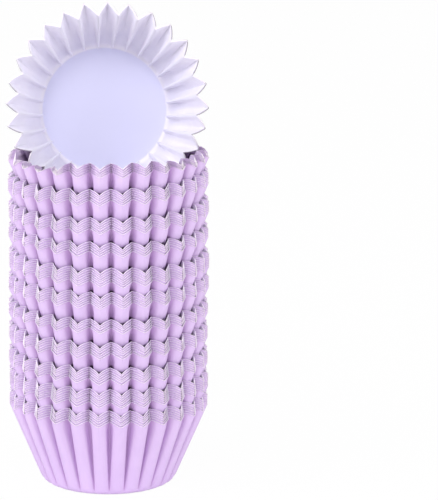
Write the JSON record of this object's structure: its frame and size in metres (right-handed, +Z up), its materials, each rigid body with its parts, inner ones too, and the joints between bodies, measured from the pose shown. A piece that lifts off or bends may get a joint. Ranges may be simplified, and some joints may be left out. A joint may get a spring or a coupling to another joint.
{
  "type": "stack of cupcake liners",
  "caption": "Stack of small pleated paper cupcake liners pushed into each other in pressed bundles, with a single liner lying on its side in the open top.",
  "frame": {"origin": "middle of the underside of the lowest liner, on the surface that the stack stands on", "axes": "+Z up along the stack; the open side of the leaning liner faces -Y; +X to the right seen from there"},
  "size_m": [0.0501, 0.05, 0.1204],
  "materials": {
    "lilac_paper": "matt, fine pleats",
    "liner_inside": "pale, lightly glossy greaseproof side"
  },
  "bodies": {
    "root": {"liner_bundle_01": "lilac_paper", "liner_bundle_02": "lilac_paper", "liner_bundle_03": "lilac_paper", "liner_bundle_04": "lilac_paper", "liner_bundle_05": "lilac_paper", "liner_bundle_06": "lilac_paper", "liner_bundle_07": "lilac_paper", "liner_bundle_08": "lilac_paper", "liner_bundle_09": "lilac_paper", "liner_bundle_10": "lilac_paper", "liner_bundle_11": "lilac_paper", "leaning_liner": "lilac_paper"}
  },
  "joints": []
}
